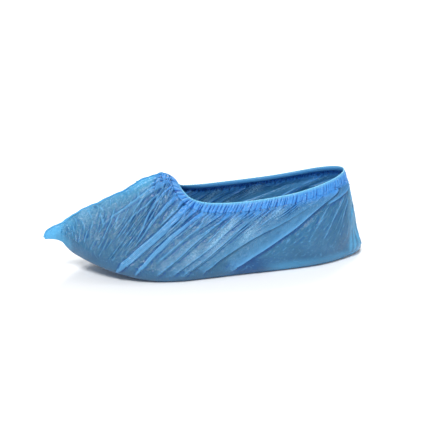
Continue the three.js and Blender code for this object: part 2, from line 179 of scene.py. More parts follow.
@dataclass(frozen=True)
class CoverForm:
    """The worn cover's smooth form, in millimetres, before any fold.

    A place counts table rows over the toe weld, then the mouth, then the heel weld. A reach runs from 0 at
    the weld or hem to 1 at the sole's widest line, 2 at the edge of the sole's flat and 3 at its middle.
    """

    length: float = 336.5
    toe_reach: float = 175.0
    half_width: float = 56.5
    instep: float = 95.0
    wall: float = 1.2
    sole_round: float = 9.0
    hem_width: float = 9.5
    edge_gap: float = 0.4

    @property
    def toe_rows(self) -> int:
        """Rows of the toe weld, with the one that meets the hem."""
        return len(TOE_WELD)

    @property
    def mouth_rows(self) -> int:
        """Steps of the mouth's table, from its front to its back."""
        return len(MOUTH.rows) - 1

    @property
    def mouth_end(self) -> int:
        """The place where the mouth ends and the heel weld starts."""
        return self.toe_rows + self.mouth_rows

    @property
    def last_place(self) -> int:
        """The place of the heel corner."""
        return self.mouth_end + len(HEEL_WELD)

    def along(self, share: Array) -> Array:
        """A share of the length as a place on X."""
        return share * self.length - self.toe_reach

    def lip(self, turn: Array) -> Array:
        """Points of the mouth's lip, a centripetal Catmull-Rom loop.

        Args:
            turn: Turns round the mouth from 0 to 1. The first half is the near side, where y is below 0.

        Returns:
            One point per turn.
        """
        near = np.stack(
            [
                self.along(MOUTH.column("at")),
                -MOUTH.column("aside") * self.half_width,
                MOUTH.column("height") * self.instep - self.wall,
            ],
            1,
        )
        far = near[-2:0:-1] * np.array([1, -1, 1])
        loop = np.concatenate([near, far])
        count = len(loop)
        t = np.mod(turn, 1.0) * count
        i = np.floor(t).astype(int)
        t = (t - i)[:, None]
        p = [loop[(i + k) % count] for k in (-1, 0, 1, 2)]
        d = [np.linalg.norm(p[k + 1] - p[k], axis=1)[:, None] ** 0.5 for k in range(3)]
        m1 = (p[1] - p[0]) / d[0] - (p[2] - p[0]) / (d[0] + d[1]) + (p[2] - p[1]) / d[1]
        m2 = (p[2] - p[1]) / d[1] - (p[3] - p[1]) / (d[1] + d[2]) + (p[3] - p[2]) / d[2]
        m1, m2 = m1 * d[1], m2 * d[1]
        return (
            p[1]
            + m1 * t
            + (-3 * p[1] + 3 * p[2] - 2 * m1 - m2) * t**2
            + (2 * p[1] - 2 * p[2] + m1 + m2) * t**3
        )

    def hem_frame(self, turn: Array) -> tuple[Array, Array, Array]:
        """The lip's points, the way down the hem and the way out of it, at turns of the mouth."""
        step = 1e-4
        run = self.lip(turn + step) - self.lip(turn - step)
        away = np.stack([run[:, 1], -run[:, 0], np.zeros(len(run))], 1)
        away /= np.linalg.norm(away, axis=1)[:, None]
        near = np.where(turn <= 0.5, turn, 1 - turn) * 2 * self.mouth_rows
        flare = np.radians(MOUTH.by_row("flare", near))[:, None]
        up = np.array([0.0, 0.0, 1.0])
        out = away * np.cos(flare) + up * np.sin(flare)
        return self.lip(turn), away * np.sin(flare) - up * np.cos(flare), out

    def film_edge(self, row: Array) -> Array:
        """Points of the film's top edge on the near side, at rows of the mouth."""
        point, down, _ = self.hem_frame(row / self.mouth_rows * 0.5)
        return point + down * (self.hem_width + self.edge_gap)

    def weld_line(self, toe: bool) -> Table:
        """A weld's table with the row that meets the hem put in."""
        edge = self.film_edge(np.array([0.0 if toe else float(self.mouth_rows)]))[0]
        row = 0 if toe else self.mouth_rows
        joined = (
            (edge[0] + self.toe_reach) / self.length,
            (edge[2] + self.wall) / self.instep,
            float(MOUTH.column("foot")[row]),
            float(MOUTH.column("full")[row]),
        )
        return Table(WELD_COLUMNS, (*TOE_WELD, joined) if toe else (joined, *HEEL_WELD))

    def columns(self, place: Array) -> tuple[Array, Array, Array]:
        """Where near-side columns start, the share of the length where they land, and their roundness."""
        start = np.zeros((len(place), 3))
        foot = np.zeros(len(place))
        full = np.zeros(len(place))
        toe = place <= self.toe_rows
        heel = place >= self.mouth_end
        mouth = ~toe & ~heel
        for which, line, offset in (
            (toe, self.weld_line(True), 0),
            (heel, self.weld_line(False), self.mouth_end),
        ):
            row = place[which] - offset
            start[which, 0] = self.along(line.by_row("at", row))
            start[which, 2] = line.by_row("height", row) * self.instep - self.wall
            foot[which] = line.by_row("foot", row)
            full[which] = line.by_row("full", row)
        row = place[mouth] - self.toe_rows
        start[mouth] = self.film_edge(row)
        foot[mouth] = MOUTH.by_row("foot", row)
        full[mouth] = MOUTH.by_row("full", row)
        return start, foot, full

    def surface(self, place: Array, reach: Array) -> Array:
        """Points of the near side's smooth outer face.

        Args:
            place: The columns' places.
            reach: The rows' reaches.

        Returns:
            An array of columns by rows by 3.
        """
        start, foot, full = self.columns(place)
        x = self.along(foot)[:, None]
        width = SOLE_STATIONS.by("at", "half_width", foot)[:, None] * self.half_width
        widest = SOLE_STATIONS.by("at", "widest", foot)[:, None] * self.instep - self.wall
        floor = SOLE_STATIONS.by("at", "floor", foot)[:, None] * self.instep - self.wall
        flat = width - np.minimum(self.sole_round, width / 2)
        side = np.clip(reach, 0, 1)[None] * np.pi / 2
        edge = np.clip(reach - 1, 0, 1)[None] * np.pi / 2
        sole = np.clip(reach - 2, 0, 1)[None]
        power = 2 / full[:, None]
        rise = np.clip(np.cos(side), 0, 1) ** power
        spread = np.sin(side) ** power
        px = x + (start[:, 0:1] - x) * rise
        py = start[:, 1:2] - (width + start[:, 1:2]) * spread
        pz = widest + (start[:, 2:3] - widest) * rise
        low = reach[None] > 1
        py = np.where(low, -(flat + (width - flat) * np.cos(edge)), py)
        py = np.where(reach[None] > 2, -flat * (1 - sole), py)
        pz = np.where(low, floor + (widest - floor) * (1 - np.sin(edge)), pz)
        return np.stack([px, py, pz], -1)


SWELL_HEIGHT = 3.4
RIPPLE_HEIGHT = 0.35
# How far below the hem the film still glints, in millimetres.
GLINT_REACH = 45.0


def smooth_step(value: Array) -> Array:
    """Eases 0 to 1, flat at both ends."""
    t = np.clip(value, 0.0, 1.0)
    return t * t * (3 - 2 * t)


def ramp(value: Array, start: float, stretch: float) -> Array:
    """Eases from 0 at a start to 1 a stretch further on, or further back where the stretch is below 0."""
    return smooth_step((value - start) / stretch)


def creased(noise: Array, sharpness: float) -> Array:
    """Turns smooth noise into thin ridges, from 0 to 1, along the lines where it changes sign."""
    return (1 - np.clip(np.abs(noise) * sharpness, 0, 1)) ** 2


def soft_noise(points: Array, lengths: tuple[float, ...], seed: int, waves: int = 14) -> Array:
    """Smooth noise of about -1 to 1, the sum of plane waves in set-seed directions.

    Args:
        points: Points in millimetres, with their coordinates on the last axis.
        lengths: The wavelength along each coordinate, in millimetres.
        seed: Fixes the waves.
        waves: How many are summed.

    Returns:
        One value per point.
    """
    rng = np.random.default_rng(seed)
    scaled = points / np.array(lengths)
    total = np.zeros(points.shape[:-1])
    for _ in range(waves):
        way = rng.normal(size=points.shape[-1])
        way *= rng.uniform(0.6, 1.4) / np.linalg.norm(way)
        total += np.cos(2 * np.pi * (scaled @ way) + rng.uniform(0, 2 * np.pi))
    return total / math.sqrt(waves)


def interpolate_rows(rows: Array, index: Array) -> Array:
    """The rows of a table at fractional indices."""
    at = np.arange(len(rows))
    return np.stack([np.interp(index, at, column) for column in rows.T], axis=-1)


def blurred(values: Array, passes: int) -> Array:
    """A grid smoothed by repeated averaging with its neighbours."""
    out = values.copy()
    for _ in range(passes):
        padded = np.pad(out, 1, mode="edge")
        out = (
            padded[1:-1, 1:-1] * 2
            + padded[:-2, 1:-1]
            + padded[2:, 1:-1]
            + padded[1:-1, :-2]
            + padded[1:-1, 2:]
        ) / 6
    return out


def grid_normals(points: Array) -> Array:
    """Outward unit normals of a near-side grid of columns by rows."""
    normal = np.cross(np.gradient(points, axis=1), np.gradient(points, axis=0))
    size = np.linalg.norm(normal, axis=-1, keepdims=True)
    return normal / np.maximum(size, 1e-9)


def build_grid(name: str, points: Array, values: dict[str, Array], weld: float = 0.02) -> bpy.types.Object:
    """Models a sheet: a bmesh grid whose vertices are put at points, with its touching edges welded.

    Args:
        name: The piece's name.
        points: Columns by rows of points, in millimetres.
        values: Named attributes, one value per point.
        weld: How near two points are welded, in millimetres.

    Returns:
        The new object, at the origin.
    """
    columns, rows = points.shape[:2]
    mesh = bmesh.new()
    layers = {key: mesh.verts.layers.float.new(key) for key in values}
    bmesh.ops.create_grid(mesh, x_segments=columns - 1, y_segments=rows - 1, size=1.0)
    for vert in mesh.verts:
        i = round((vert.co.x + 1) / 2 * (columns - 1))
        j = round((vert.co.y + 1) / 2 * (rows - 1))
        for key, layer in layers.items():
            vert[layer] = float(values[key][i, j])
        vert.co = Vector(points[i, j] * MM)
    bmesh.ops.remove_doubles(mesh, verts=mesh.verts, dist=weld * MM)
    bmesh.ops.dissolve_degenerate(mesh, dist=weld * MM * 0.5, edges=mesh.edges)
    bmesh.ops.recalc_face_normals(mesh, faces=mesh.faces)
    for face in mesh.faces:
        face.smooth = True
    data = bpy.data.meshes.new(name)
    mesh.to_mesh(data)
    mesh.free()
    piece = bpy.data.objects.new(name, data)
    bpy.context.scene.collection.objects.link(piece)
    return piece


def add_wall(piece: bpy.types.Object, thickness: float, offset: float = -1.0) -> None:
    """Gives a sheet its thickness, in millimetres, inward from its outer face."""
    solid = piece.modifiers.new("wall", "SOLIDIFY")
    solid.thickness = thickness * MM
    solid.offset = offset
    solid.use_even_offset = False


def dress(piece: bpy.types.Object, material: bpy.types.Material, node: str) -> None:
    """Gives a piece its material, fixes it to the frame and hides the frame's node that it stands for."""
    piece.data.materials.append(material)
    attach(piece, "root")
    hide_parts(node)
    LOG.info("%s: %d faces", piece.name, len(piece.data.polygons))


class Profile(Enum):
    """The ways that a fold in the film stands up across its line."""

    CREASE = "a sharp ridge"
    BAND = "a flattened pleat with two edges"
    FLAP = "a slope that ends in an overhanging edge"


@dataclass(frozen=True)
class Fold:
    """One fold of the film, along a path of places and reaches from the hem downwards.

    Its three widths, its height and its lean are in millimetres. A rooted fold starts at the hem.
    """

    profile: Profile
    widths: tuple[float, float, float]
    height: float
    lean: float
    doubled: float
    path: tuple[tuple[float, float], ...]
    rooted: bool = True
    taper: float = 0.2

    def fade(self, along: Array) -> Array:
        """How fully the fold stands, at shares of its length."""
        top = smooth_step(along / 0.06 + 0.35) if self.rooted else smooth_step(along / 0.22)
        return top * smooth_step((1 - along) / self.taper)

    def section(self, off: Array, width: Array, along: Array) -> tuple[Array, ...]:
        """The fold's form across its line.

        Args:
            off: Distances from the line, in millimetres.
            width: The fold's widths there.
            along: Shares of the line's length there.

        Returns:
            The rise as a share of the height, the lean in millimetres, and how much the doubled film shows.
        """
        t = off / (width / 2)
        groove = 0.35 * np.exp(-(((np.abs(t) - 1.25) / 0.4) ** 2)) * np.where(off > 0, 1.0, 0.35)
        if self.profile is Profile.CREASE:
            ridge = np.clip(1 - np.abs(t), 0, 1)
            return ridge**1.4 - groove * 0.7, np.zeros(len(off)), ridge**0.7
        if self.profile is Profile.BAND:
            streak = np.cos(off * 4.4 + 2.5 * np.sin(along * 9.0)) * smooth_step(1.0 - np.abs(t))
            shape = smooth_step((1.15 - np.abs(t)) / 0.4) * (0.9 - 0.2 * t) + 0.1 * streak - groove * 0.3
            lean = np.sign(off) * smooth_step(1 - np.abs(np.abs(t) - 0.85) / 0.5) * self.lean
            return shape, lean, smooth_step((1.08 - np.abs(t)) / 0.2) * (0.8 + 0.2 * streak)
        slope = np.clip(1 + off / width, 0, 1) ** 1.6
        edge = smooth_step(1 - off / 2.0)
        shape = np.where(off < 0, slope, edge) - 0.28 * np.exp(-(((off - 3.4) / 1.8) ** 2))
        before_crest = np.clip(1 + off / (width * 0.3), 0, 1) ** 0.6
        crest = np.where(off < 0, before_crest, smooth_step(1 - off / 1.2))
        # The slope before the crest shows as doubled film: partly two layers of film, partly a painted light
        # on the lit slope.
        shade = np.maximum(crest, 0.7 * np.where(off < 0, slope**0.5, 0))
        return shape, np.clip(shape, 0, 1) ** 2 * self.lean, shade


C, B, F = Profile.CREASE, Profile.BAND, Profile.FLAP
# Profile, widths at the start, middle and end, height, lean, share of doubled film, then the path.
SIDE_FOLDS = (
    # From the hem down the side, ahead of the middle.
    Fold(
        B, (5.0, 6.8, 0.6), 2.3, 0.5, 0.9,
        ((12.0, 0.0), (12.1, 0.25), (12.18, 0.44), (12.3, 0.63), (12.34, 0.76), (12.44, 0.9), (12.25, 1.14),
         (11.8, 1.46), (11.6, 1.85)),
        taper=0.35,
    ),
    Fold(C, (2.4, 3.2, 1.8), 1.3, 0.0, 0.6, ((12.62, 0.0), (12.46, 0.26), (12.46, 0.43), (12.5, 0.62))),
    Fold(
        B, (2.6, 4.2, 0.8), 1.8, 0.3, 0.9,
        ((13.02, 0.0), (12.97, 0.34), (12.97, 0.5), (13.12, 0.63), (13.3, 0.77), (13.55, 0.95), (13.3, 1.32),
         (13.2, 1.6)),
        taper=0.35,
    ),
    Fold(
        C, (4.0, 6.0, 4.0), 1.5, 0.0, 0.25,
        ((13.84, 0.0), (13.66, 0.32), (13.66, 0.48), (13.8, 0.68), (14.0, 0.9)),
    ),
    # The broad slanted folds of the middle, and the largest of all behind them.
    Fold(
        F, (5.0, 8.0, 5.0), 1.8, 0.3, 0.42,
        ((14.26, 0.0), (14.28, 0.33), (14.38, 0.54), (14.66, 0.77), (14.74, 0.96), (14.2, 1.4)),
        taper=0.4,
    ),
    Fold(
        F, (5.0, 8.0, 6.0), 1.8, 0.3, 0.4,
        ((14.84, 0.0), (14.96, 0.23), (15.18, 0.44), (15.54, 0.63), (15.72, 0.94), (15.1, 1.4)),
        taper=0.4,
    ),
    Fold(
        F, (5.0, 8.0, 6.0), 1.8, 0.3, 0.4,
        ((15.5, 0.0), (15.6, 0.32), (15.98, 0.59), (16.32, 0.76), (16.5, 0.96), (15.9, 1.4)),
        taper=0.4,
    ),
    Fold(C, (4.0, 6.0, 4.0), 1.2, 0.0, 0.3, ((16.3, 0.0), (16.45, 0.2), (16.7, 0.42), (17.0, 0.66))),
    Fold(
        F, (7.0, 13.0, 9.0), 1.8, 0.2, 0.5,
        ((18.1, 0.0), (18.5, 0.3), (18.2, 0.45), (17.6, 0.55), (17.6, 0.74), (18.2, 0.98), (17.7, 1.4)),
        taper=0.4,
    ),
    Fold(
        F, (9.0, 18.0, 10.0), 2.6, 0.3, 0.8,
        ((19.3, 0.0), (19.9, 0.25), (20.32, 0.45), (20.5, 0.6), (20.44, 0.76), (20.4, 1.0), (20.1, 1.5)),
        taper=0.5,
    ),
    Fold(F, (5.0, 9.0, 6.0), 1.8, 0.3, 0.7, ((22.5, 0.12), (21.9, 0.24), (21.2, 0.36), (20.6, 0.42)), False),
    # Over the ridge ahead of the mouth.
    Fold(B, (4.0, 4.6, 3.0), 1.0, 0.1, 1.0, ((9.45, 0.0), (9.4, 0.07), (9.5, 0.13), (9.7, 0.18))),
    Fold(C, (2.4, 3.4, 2.4), 0.9, 0.0, 0.8, ((9.3, 0.03), (8.6, 0.05), (7.6, 0.09), (6.6, 0.1)), False),
    Fold(C, (2.4, 3.4, 2.4), 0.9, 0.0, 0.8, ((9.4, 0.09), (8.7, 0.11), (7.9, 0.15), (7.2, 0.21)), False),
    Fold(C, (2.0, 3.0, 2.0), 0.8, 0.0, 0.8, ((8.2, 0.03), (7.2, 0.05), (6.2, 0.04), (5.2, 0.05)), False),
    # The fan from the front of the mouth towards the toe.
    Fold(
        C, (2.2, 3.0, 2.0), 1.2, 0.0, 0.9,
        ((10.5, 0.0), (10.15, 0.08), (9.6, 0.14), (9.0, 0.19), (8.3, 0.24)),
    ),
    Fold(
        C, (3.2, 4.4, 2.0), 1.9, 0.0, 0.6,
        ((10.55, 0.02), (10.1, 0.14), (9.4, 0.23), (8.66, 0.3), (7.84, 0.42), (7.0, 0.53), (6.75, 0.66),
         (6.95, 0.85)),
        False, 0.6,
    ),
    Fold(
        C, (2.8, 3.8, 1.6), 1.5, 0.0, 0.45,
        ((10.2, 0.26), (9.3, 0.47), (8.75, 0.6), (8.75, 0.71), (9.1, 0.88)),
        False, 0.6,
    ),
    Fold(
        C, (3.0, 3.2, 1.8), 1.7, 0.0, 0.9,
        ((10.95, 0.0), (10.55, 0.26), (10.26, 0.45), (10.7, 0.57), (11.1, 0.65), (11.6, 0.78)),
        taper=0.4,
    ),
    Fold(F, (4.0, 7.0, 4.0), 1.5, 0.5, 0.45, ((10.8, 0.04), (9.72, 0.25), (8.5, 0.4), (8.4, 0.6)), False),
    Fold(B, (2.6, 3.8, 2.0), 1.6, 0.3, 0.55, ((11.5, 0.0), (11.3, 0.33), (11.28, 0.5), (11.44, 0.64))),
    # Low creases in the smoother film at the rear.
    Fold(
        C, (2.6, 3.4, 2.6), 0.8, 0.0, 0.15,
        ((21.7, 0.3), (21.75, 0.42), (21.8, 0.6), (21.85, 0.74), (21.95, 0.9)),
        False,
    ),
    Fold(
        C, (2.6, 3.4, 2.6), 0.7, 0.0, 0.12,
        ((22.2, 0.34), (22.3, 0.48), (22.4, 0.66), (22.45, 0.84)),
        False,
    ),
    Fold(
        C, (2.6, 3.4, 2.6), 0.7, 0.0, 0.12,
        ((20.9, 0.36), (21.0, 0.42), (21.35, 0.64), (21.55, 0.84)),
        False,
    ),
    Fold(C, (2.4, 3.0, 2.4), 0.6, 0.0, 0.12, ((24.0, 0.1), (23.7, 0.2), (23.4, 0.54), (23.55, 0.78)), False),
)


@dataclass(frozen=True)
class Crop:
    """Small creases of one kind. Each is drawn from these ranges, in places, reaches and millimetres."""

    count: int
    places: tuple[float, float]
    starts: tuple[float, float]
    lengths: tuple[float, float]
    drift: tuple[float, float]
    widths: tuple[float, float]
    heights: tuple[float, float]


# Below the hem, round the toe, and at the rear. The drift is a mean and a spread, in places per reach.
CROPS = (
    Crop(130, (10.2, 17.8), (-0.05, 0.0), (0.1, 0.7), (0.0, 0.25), (1.2, 2.8), (0.4, 1.1)),
    Crop(270, (2.6, 11.5), (0.0, 0.8), (0.12, 0.5), (1.7, 0.5), (0.9, 2.3), (0.3, 1.0)),
    Crop(70, (21.2, 26.6), (0.02, 0.7), (0.25, 0.7), (-0.6, 0.4), (1.5, 3.4), (0.1, 0.4)),
)


@dataclass(frozen=True)
class Gleam:
    """A patch of film that catches the light, with its half length and half width in millimetres."""

    place: float
    reach: float
    length: float
    width: float
    strength: float


GLEAMS = (
    Gleam(15.3, 0.52, 15.0, 4.0, 1.0),
    Gleam(16.7, 0.5, 14.0, 4.0, 0.9),
    Gleam(16.5, 0.2, 10.0, 5.0, 0.9),
    Gleam(14.8, 0.28, 12.0, 3.0, 0.6),
    Gleam(15.15, 0.7, 8.0, 3.0, 0.5),
    Gleam(13.15, 0.02, 6.0, 5.0, 0.5),
    Gleam(11.75, 0.34, 8.0, 3.5, 0.5),
    Gleam(8.45, 0.44, 9.0, 5.0, 0.3),
    Gleam(7.75, 0.6, 12.0, 5.0, 0.25),
    Gleam(6.0, 0.05, 14.0, 5.0, 0.4),
    Gleam(4.95, 0.3, 9.0, 7.0, 0.5),
)
GLEAM_STEEPNESS = 45.0


@dataclass(frozen=True)
class GatherScale:
    """Gathers of one size round the mouth, with their spacing and height in millimetres."""

    spacing: tuple[float, float]
    height: tuple[float, float]
    seed: int


@dataclass
class Gathers:
    """The irregular gathers round the mouth, which the hem and the film's top edge share."""

    form: CoverForm
    fine: GatherScale = GatherScale((1.7, 4.8), (0.6, 2.2), 11)
    broad: GatherScale = GatherScale((4.5, 12.0), (0.7, 2.6), 12)
    slant: float = 0.010
    steps: int = 720

    def __post_init__(self) -> None:
        """Measures the lip and draws each scale's gathers once, as shares of its length."""
        self.turns = np.linspace(0, 1, self.steps + 1)
        loop = self.form.lip(self.turns)
        arc = np.concatenate([[0.0], np.cumsum(np.linalg.norm(np.diff(loop, axis=0), axis=1))])
        self.length = float(arc[-1])
        self.arc = arc / self.length
        self.drawn = {scale: self.draw(scale) for scale in (self.fine, self.broad)}

    def draw(self, scale: GatherScale) -> tuple[Array, Array]:
        """The edges of one scale's gathers, as shares of the lip, and their heights."""
        rng = np.random.default_rng(scale.seed)
        steps = rng.uniform(*scale.spacing, size=int(self.length / scale.spacing[0]))
        steps = steps[: int(np.searchsorted(np.cumsum(steps), self.length))]
        edges = np.concatenate([[0.0], np.cumsum(steps) / steps.sum()])
        return edges, rng.uniform(*scale.height, size=len(steps))

    def wave(self, turn: Array, scale: GatherScale) -> Array:
        """How far one scale's gathers stand out, in millimetres, at turns round the mouth."""
        edges, heights = self.drawn[scale]
        share = np.interp(np.mod(turn, 1.0), self.turns, self.arc)
        k = np.clip(np.searchsorted(edges, share, side="right") - 1, 0, len(heights) - 1)
        t = (share - edges[k]) / (edges[k + 1] - edges[k])
        return heights[k] * (np.sin(np.pi * np.clip(t, 0, 1)) ** 1.3 - 0.5)

    def slanted(self, turn: Array, share: float) -> Array:
        """The turn whose gather has drifted here, a share of the way down the hem, and most at its front."""
        front = 0.6 + 0.7 * np.cos(2 * np.pi * turn)
        return turn + self.slant * share * np.sin(2 * np.pi * turn) * np.clip(front, 0, None)

    def on_hem(self, turn: Array, share: float) -> Array:
        """The hem's rise, in millimetres, a share of the way from the lip to its lower edge."""
        at = self.slanted(turn, share)
        grown = 0.45 + 0.55 * float(smooth_step(np.array(share * 1.5)))
        fine, broad = self.wave(at, self.fine), self.wave(at, self.broad)
        return grown * self.crowding(turn) * (fine * (1 - 0.45 * share) + broad * 0.6 * share)

    def crowding(self, turn: Array) -> Array:
        """How much deeper the gathers are at the slack front of the mouth than at its back."""
        back = ramp(np.abs(np.mod(turn, 1.0) - 0.5), 0.24, -0.08)
        return 1 + 0.7 * np.clip(np.cos(2 * np.pi * turn), 0, 1) ** 2 - 0.4 * back

    def on_film(self, turn: Array, down: Array) -> Array:
        """The film's rise below the hem, in millimetres, for columns of turns and their rows of down."""
        at = self.slanted(turn, 1.0)
        fine = self.wave(at, self.fine)[:, None] * 0.55 * np.exp(-((down / 7.0) ** 1.6))
        broad = self.wave(at, self.broad)[:, None] * 0.6 * np.exp(-((down / 15.0) ** 1.4))
        return self.crowding(turn)[:, None] * (fine + broad)


def swell(place: Array, reach: Array) -> Array:
    """How far slack film puffs up along the ridge ahead of the mouth, in millimetres."""
    along = ramp(place, 5.4, 3.4) * ramp(place, 10.3, -1.2)
    uneven = np.sin(place * 4.3) + 0.6 * np.sin(place * 9.7 + 1.0)
    ripple = RIPPLE_HEIGHT * uneven * ramp(place, 1.5, 2.0) * ramp(place, 10.3, -0.8)
    return (SWELL_HEIGHT * along + ripple) * (1 - smooth_step(reach / 0.42))


@dataclass(frozen=True)
class SmoothSide:
    """The near side before any fold: a column of places, a row of reaches, and what they span."""

    place: Array
    reach: Array
    points: Array
    down: Array
    in_mouth: Array
    turn: Array

    @property
    def above_sole(self) -> Array:
        """1 up the side, and 0 past the edge of the sole's flat."""
        return ramp(self.reach, 2.1, -0.5)


@dataclass
class FilmBag:
    """The film bag: both side panels and the sole, one sheet with its folds."""

    form: CoverForm
    gathers: Gathers
    tuck: float = 3.7
    toe_columns: int = 220
    mouth_columns: int = 288
    heel_columns: int = 70
    side_rows: int = 62
    edge_rows: int = 15
    sole_rows: int = 6
    toe_seam: float = 2.5
    heel_seam: float = 16.0
    path_points: int = 61
    # How long a place is, in reaches, for even steps along a fold.
    place_in_reaches: float = 0.2
    companions: int = 3
    companions_span: tuple[float, float] = (10.8, 17.0)
    near_seed: int = 21
    far_seed: int = 57
    far_jitter: float = 0.22
    rear_steepness: float = 58.0
    relief_passes: int = 14
    # The row of the grid whose length the pattern along the cover follows.
    run_row: int = 20
    # The size of each kind of unevenness along its axes, and how high it stands, in millimetres.
    slack_size: tuple[float, ...] = (30.0, 30.0, 30.0)
    slack_height: float = 0.8
    crumple_size: tuple[float, ...] = (7.0, 7.0, 12.0)
    rear_line_size: tuple[float, ...] = (3.6, 30.0)
    crumple_height: float = 0.5
    sole_crease_size: tuple[float, ...] = (38.0, 22.0, 30.0)
    sole_crease_height: float = 0.8
    # Places: the end of the lit toe corner and of the ridge, and the start of the rear and of the heel film.
    corner_end: float = 4.9
    ridge_end: float = 8.2
    rear_start: float = 17.8
    heel_film_start: float = 20.5
    # Places on X, in millimetres: the shaded and the lit film along the foot, and the lit strip at the heel.
    shaded_x: float = 24.0
    lit_foot_x: float = 34.0
    lit_heel_x: float = 132.0

    @property
    def rear_lines(self) -> Array:
        """Turns X and Z into distances across and along the steep creases of the rear."""
        angle = math.radians(self.rear_steepness)
        return np.array([[math.sin(angle), math.cos(angle)], [-math.cos(angle), math.sin(angle)]])

    def places(self) -> Array:
        """The columns' places, close over the mouth and wider over the welds."""
        form = self.form
        toe = np.linspace(0, form.toe_rows, self.toe_columns, endpoint=False)
        mouth = np.linspace(form.toe_rows, form.mouth_end, self.mouth_columns, endpoint=False)
        heel = np.linspace(form.mouth_end, form.last_place, self.heel_columns + 1)
        return np.concatenate([toe, mouth, heel])

    def reaches(self) -> Array:
        """The rows' reaches, from the weld or hem to the middle of the sole."""
        side = np.linspace(0, 1, self.side_rows, endpoint=False)
        edge = np.linspace(1, 2, self.edge_rows, endpoint=False)
        return np.concatenate([side, edge, np.linspace(2, 3, self.sole_rows + 1)])

    def smooth_side(self) -> SmoothSide:
        """The near side's grid on the smooth form, its depth below the hem and its turns of the mouth."""
        place, reach = self.places(), self.reaches()
        points = self.form.surface(place, reach)
        steps = np.linalg.norm(np.diff(points, axis=1), axis=-1)
        down = np.concatenate([np.zeros((len(place), 1)), np.cumsum(steps, axis=1)], 1)
        row = place - self.form.toe_rows
        in_mouth = (row > 0) & (row < self.form.mouth_rows)
        turn = np.where(in_mouth, row / self.form.mouth_rows * 0.5, 0.0)
        return SmoothSide(place[:, None], reach[None], points, down, in_mouth, turn)

    def fold_line(self, fold: Fold, shift: float) -> Array:
        """A fold's path as even steps on the smooth form."""
        path = np.array(fold.path)
        steps = np.hypot(np.diff(path[:, 0]) * self.place_in_reaches, np.diff(path[:, 1]))
        knots = np.concatenate([[0.0], np.cumsum(steps)])
        at = np.linspace(0, knots[-1], self.path_points)
        place = monotone(knots, path[:, 0] + shift, at)
        reach = monotone(knots, path[:, 1], at)
        each = np.arange(len(at))
        return self.form.surface(place, reach)[each, each]

    def raise_fold(self, fold: Fold, points: Array, normal: Array, shift: float) -> tuple[Array, ...]:
        """Works out what one fold does to the sheet.

        Args:
            fold: The fold.
            points: The smooth sheet.
            normal: Its outward normals.
            shift: How far the fold is moved along the places.

        Returns:
            The rise along the normal, the sideways shift as vectors, and the share of doubled film.
        """
        line = self.fold_line(fold, shift)
        rise = np.zeros(points.shape[:2])
        side = np.zeros(points.shape)
        doubled = np.zeros(points.shape[:2])
        reachable = max(fold.widths) * 1.6 + 4
        low, high = line.min(0) - reachable, line.max(0) + reachable
        near = ((points > low) & (points < high)).all(-1)
        if not near.any():
            return rise, side, doubled
        p, n = points[near], normal[near]
        nearest = ((p[:, None] - line[None]) ** 2).sum(-1).argmin(1)
        tangent = np.gradient(line, axis=0)
        spacing = np.linalg.norm(tangent, axis=1)
        tangent /= spacing[:, None]
        step = ((p - line[nearest]) * tangent[nearest]).sum(-1)
        index = nearest + np.clip(step / spacing[nearest], -0.5, 0.5)
        foot = interpolate_rows(line, index)
        heading = interpolate_rows(tangent, index)
        along = index / (len(line) - 1)
        across = np.cross(n, heading)
        across /= np.maximum(np.linalg.norm(across, axis=1)[:, None], 1e-9)
        off = ((p - foot) * across).sum(-1)
        past = np.abs(((p - foot) * heading).sum(-1))
        fade = fold.fade(along) * smooth_step(1.6 - past / 2.0)
        width = np.interp(along, (0.0, 0.42, 1.0), fold.widths)
        shape, lean, shade = fold.section(off, width, along)
        rise[near] = shape * fade * fold.height
        side[near] = across * (lean * fade)[:, None]
        doubled[near] = shade * smooth_step(fade * 1.6) * fold.doubled
        return rise, side, doubled

    def folds(self, points: Array, normal: Array, seed: int, jitter: float) -> tuple[Array, ...]:
        """Raises the main folds and their smaller companions.

        Args:
            points: The smooth sheet.
            normal: Its outward normals.
            seed: Fixes the companions and how far each fold is moved.
            jitter: How far the main folds are moved along the places.

        Returns:
            The rise, the sideways shift and the share of doubled film.
        """
        rng = np.random.default_rng(seed)
        first, last = self.companions_span
        todo = []
        for fold in SIDE_FOLDS:
            todo.append((fold, jitter * rng.uniform(-1, 1)))
            if not fold.rooted or not first < fold.path[0][0] < last:
                continue
            for _ in range(self.companions):
                width, height = rng.uniform(1.8, 3.2), rng.uniform(0.5, 1.3)
                widths = (width, width * 1.3, width)
                path = fold.path[: int(rng.integers(3, len(fold.path) + 1))]
                smaller = Fold(Profile.CREASE, widths, height, 0.0, rng.uniform(0.0, 0.3), path)
                todo.append((smaller, rng.uniform(-0.5, 0.5)))
        crest = np.zeros(points.shape[:2])
        groove = np.zeros(points.shape[:2])
        shift = np.zeros(points.shape)
        doubled = np.zeros(points.shape[:2])
        for fold, moved in todo:
            up, lean, shade = self.raise_fold(fold, points, normal, moved)
            crest = np.maximum(crest, up)
            groove = np.minimum(groove, up)
            shift += lean
            doubled = np.maximum(doubled, shade)
        return crest + groove, shift, doubled

